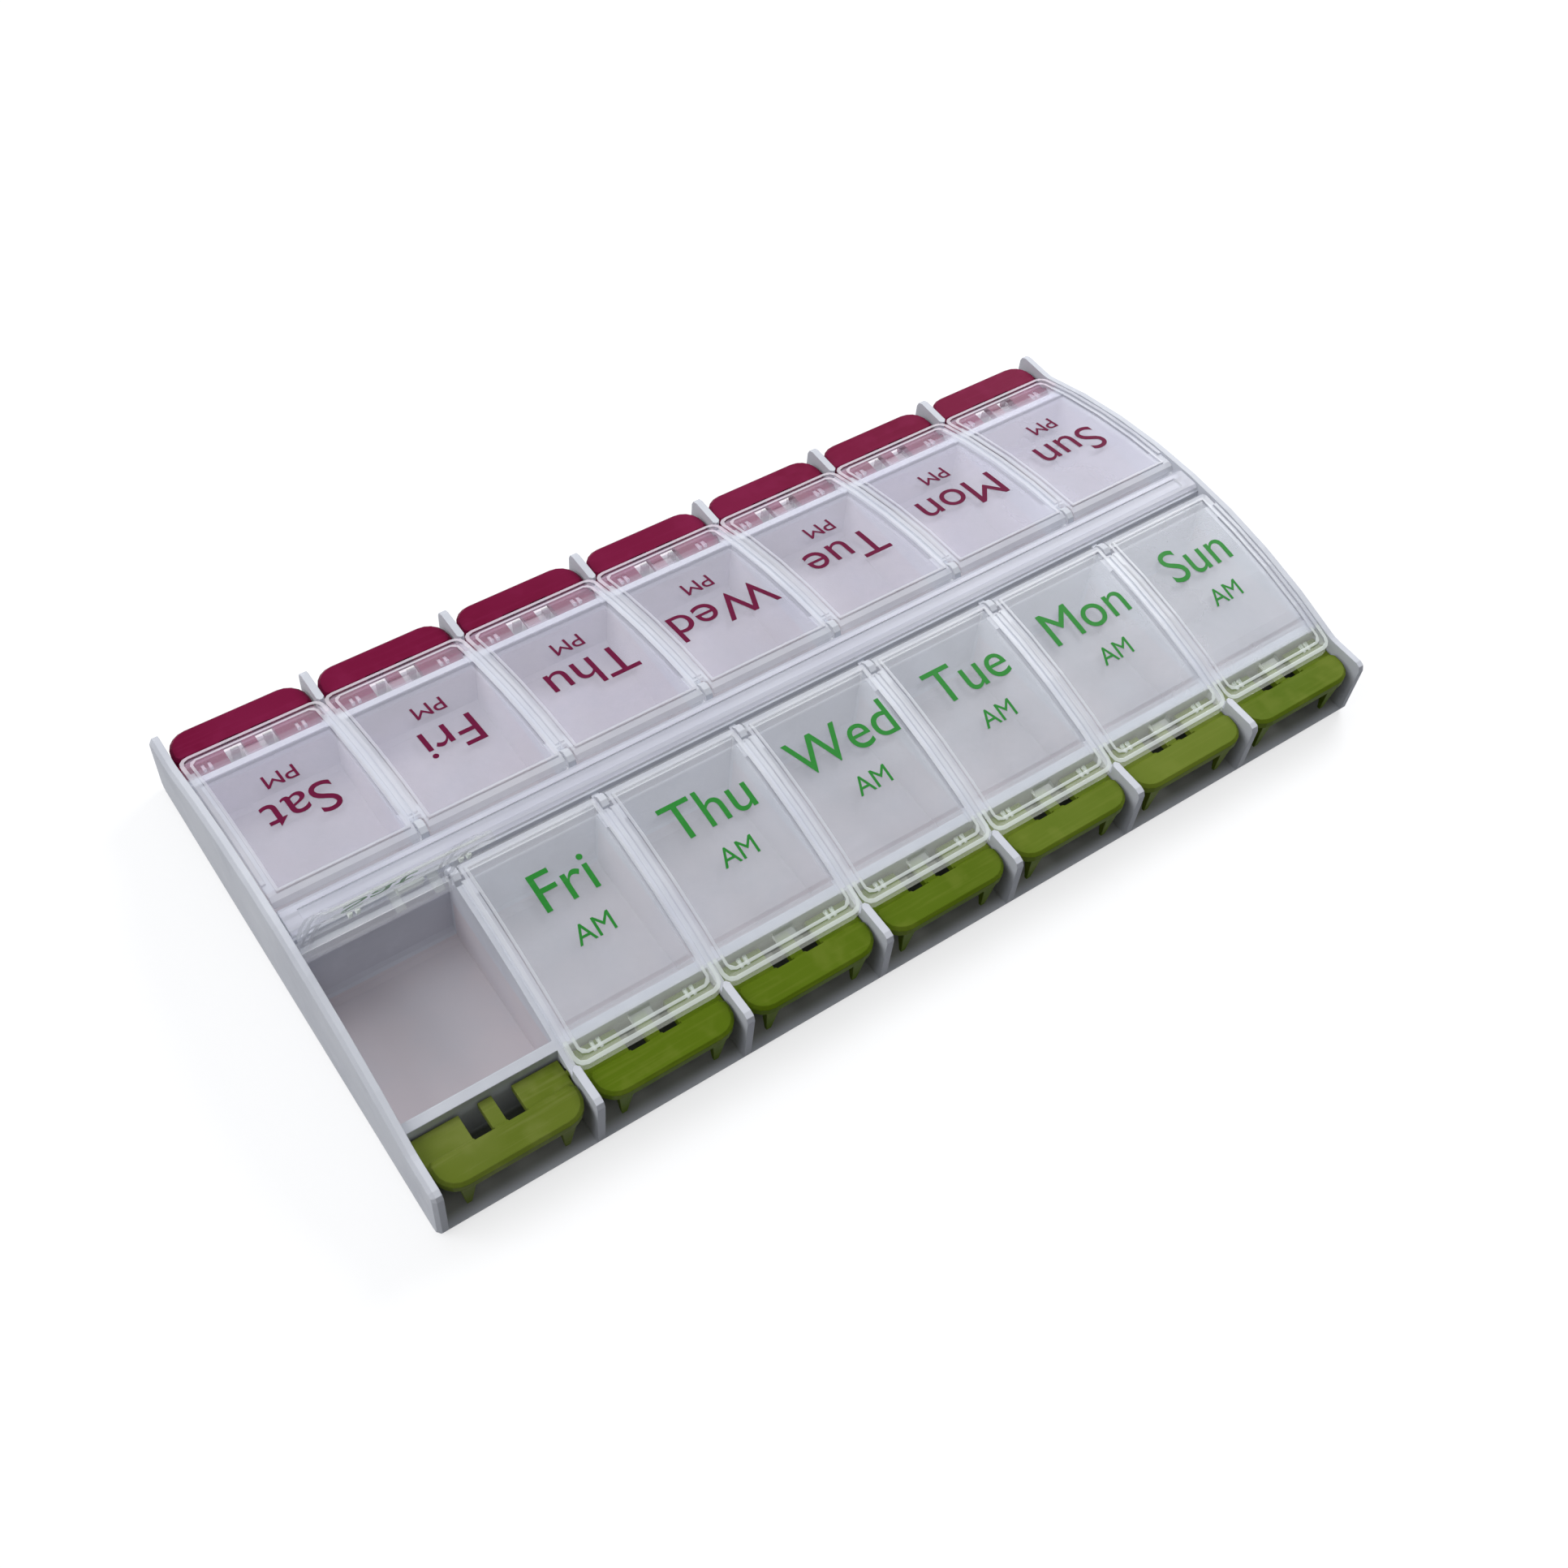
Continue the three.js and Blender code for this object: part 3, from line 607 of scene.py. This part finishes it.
def print_lid(day, row, column, material):
    """The words of one lid, laid on its arched top and riding with it."""
    side = -1 if row == "am" else 1
    words = (day.capitalize(), row.upper())
    heights = (WORD_HEIGHT, HALF_HEIGHT)
    shape = bmesh.new()
    for word, height, baseline in zip(words, heights, BASELINES[row]):
        mesh = letters(word, height, baseline, WORD_SHIFT)
        shape.from_mesh(mesh)
        bpy.data.meshes.remove(mesh)
    for band in range(int(ARCH_FOOT / BAND)):
        parts = shape.verts[:] + shape.edges[:] + shape.faces[:]
        bmesh.ops.bisect_plane(shape, geom=parts, plane_co=(0, -band * BAND, 0), plane_no=(0, 1, 0))
    for vertex in shape.verts:
        vertex.co.z += arch(vertex.co.y) - LID_DROP + PRINT_LIFT
    bmesh.ops.triangulate(shape, faces=shape.faces[:])
    if side > 0:
        bmesh.ops.rotate(shape, verts=shape.verts[:], matrix=Matrix.Rotation(math.pi, 3, "Z"))
    bmesh.ops.translate(shape, verts=shape.verts[:], vec=((column - MIDDLE_COLUMN) * PITCH, 0, 0))
    lid = f"lid_{day}_{row}"
    if lid == OPEN_LID:
        pivot = Vector((0, side * HINGE_PLACE, HINGE_HEIGHT))
        turn = Matrix.Rotation(side * OPEN_ANGLE, 3, "X")
        bmesh.ops.rotate(shape, verts=shape.verts[:], cent=pivot, matrix=turn)
    mesh = bpy.data.meshes.new(f"print_{day}_{row}")
    shape.to_mesh(mesh)
    shape.free()
    mesh.materials.append(material)
    piece = bpy.data.objects.new(mesh.name, mesh)
    bpy.context.scene.collection.objects.link(piece)
    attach(piece, lid)


for column, day in enumerate(DAYS):
    print_lid(day, "am", column, green_ink)
    print_lid(day, "pm", column, crimson_ink)

# Floor, white to the eye and in gloss where nothing shades it, with the object's soft shadow
FLOOR_HALF = 4.0            # half its width in metres
FLOOR_DROP = 0.02 * MM
FLOOR_GLOW = 0.7
PAPER_FIBRES = (8.0, 2.0, 0.5)
PLAIN_WHITE = (1, 1, 1, 1)
floor_mesh = bpy.data.meshes.new("floor")
sheet = bmesh.new()
bmesh.ops.create_grid(sheet, x_segments=1, y_segments=1, size=FLOOR_HALF)
sheet.to_mesh(floor_mesh)
sheet.free()
floor = bpy.data.objects.new("floor", floor_mesh)
floor.location.z = -FLOOR_DROP
bpy.context.scene.collection.objects.link(floor)
tree = Tree("floor_paper")
fibres = tree.noise(tree.object_place(), *PAPER_FIBRES)
paper = tree.lay(fibres, WIDE, 1.0, linear(160, 161, 163), linear(156, 157, 159))
matt = tree.add("ShaderNodeBsdfDiffuse", {"Color": paper}).outputs[0]
glow = tree.add("ShaderNodeEmission", {"Color": PLAIN_WHITE, "Strength": FLOOR_GLOW}).outputs[0]
seen = tree.add("ShaderNodeAddShader", {0: matt, 1: glow}).outputs[0]
mixed = tree.add("ShaderNodeMixShader", {0: tree.sees_background(), 1: matt, 2: seen}).outputs[0]
floor.data.materials.append(tree.finish(mixed))

# World: soft light, strongest overhead and weakest from the front, but plain white to the eye and in gloss
SKY_HORIZON = 0.03
SKY_TOP = 0.86
SKY_LEAN = 0.8
SKY_FALL = 1.6
SKY_COLOUR = (0.97, 0.98, 1.0, 1)
world = bpy.data.worlds.new("studio")
bpy.context.scene.world = world
world.use_nodes = True
sky_tree = Tree.of(world.node_tree)
heading = sky_tree.add("ShaderNodeTexCoord").outputs["Generated"]
axes = sky_tree.parts_of(heading)
rise = sky_tree.math("POWER", sky_tree.math("MAXIMUM", axes["Z"], 0.0), SKY_FALL)
rise = sky_tree.math("MULTIPLY_ADD", rise, SKY_TOP, SKY_HORIZON)
lean = sky_tree.math("MULTIPLY_ADD", axes["Y"], SKY_LEAN, 1.0)
power = sky_tree.product(rise, lean)
sky = sky_tree.add("ShaderNodeBackground", {"Color": SKY_COLOUR, "Strength": power}).outputs[0]
backdrop = sky_tree.add("ShaderNodeBackground", {"Color": PLAIN_WHITE, "Strength": 1.0}).outputs[0]
mixed = sky_tree.add("ShaderNodeMixShader", {0: sky_tree.sees_background(), 1: sky, 2: backdrop}).outputs[0]
sky_tree.add("ShaderNodeOutputWorld", {"Surface": mixed})


def area(name, place, aim, size, power):
    """A square soft box that faces a point."""
    light = bpy.data.lights.new(name, "AREA")
    light.shape = "SQUARE"
    light.size = size
    light.energy = power
    lamp = bpy.data.objects.new(name, light)
    lamp.location = place
    lamp.rotation_mode = "QUATERNION"
    lamp.rotation_quaternion = (Vector(aim) - Vector(place)).to_track_quat("-Z", "Y")
    bpy.context.scene.collection.objects.link(lamp)


area("left_softbox", place=(-0.8, 0.2, 0.75), aim=(0, 0, 0), size=0.8, power=5.2)
area("right_softbox", place=(0.45, 0.18, 0.45), aim=(0.08, 0, 0), size=0.3, power=2.1)

# Camera at the photograph's place, with its lens and sensor in millimetres
LENS = 42.49
SENSOR = 36.0
CLIP_START = 0.01
CLIP_END = 20.0
CAMERA_PLACE = (-146.17 * MM, -173.33 * MM, 292.65 * MM)
RIGHT = (0.81753074, -0.57122988, 0.07307472)
DOWN = (-0.42523414, -0.68435657, -0.59231074)
FORWARD = (0.38835475, 0.45315837, -0.80238898)
lens = bpy.data.cameras.new("camera")
lens.sensor_width = SENSOR
lens.lens = LENS
lens.clip_start = CLIP_START
lens.clip_end = CLIP_END
camera = bpy.data.objects.new("camera", lens)
turn = Matrix((RIGHT, [-d for d in DOWN], [-f for f in FORWARD])).transposed()
camera.matrix_world = Matrix.Translation(CAMERA_PLACE) @ turn.to_4x4()
bpy.context.scene.collection.objects.link(camera)
bpy.context.scene.camera = camera
bpy.context.scene.view_settings.view_transform = "Standard"

bpy.context.view_layer.update()
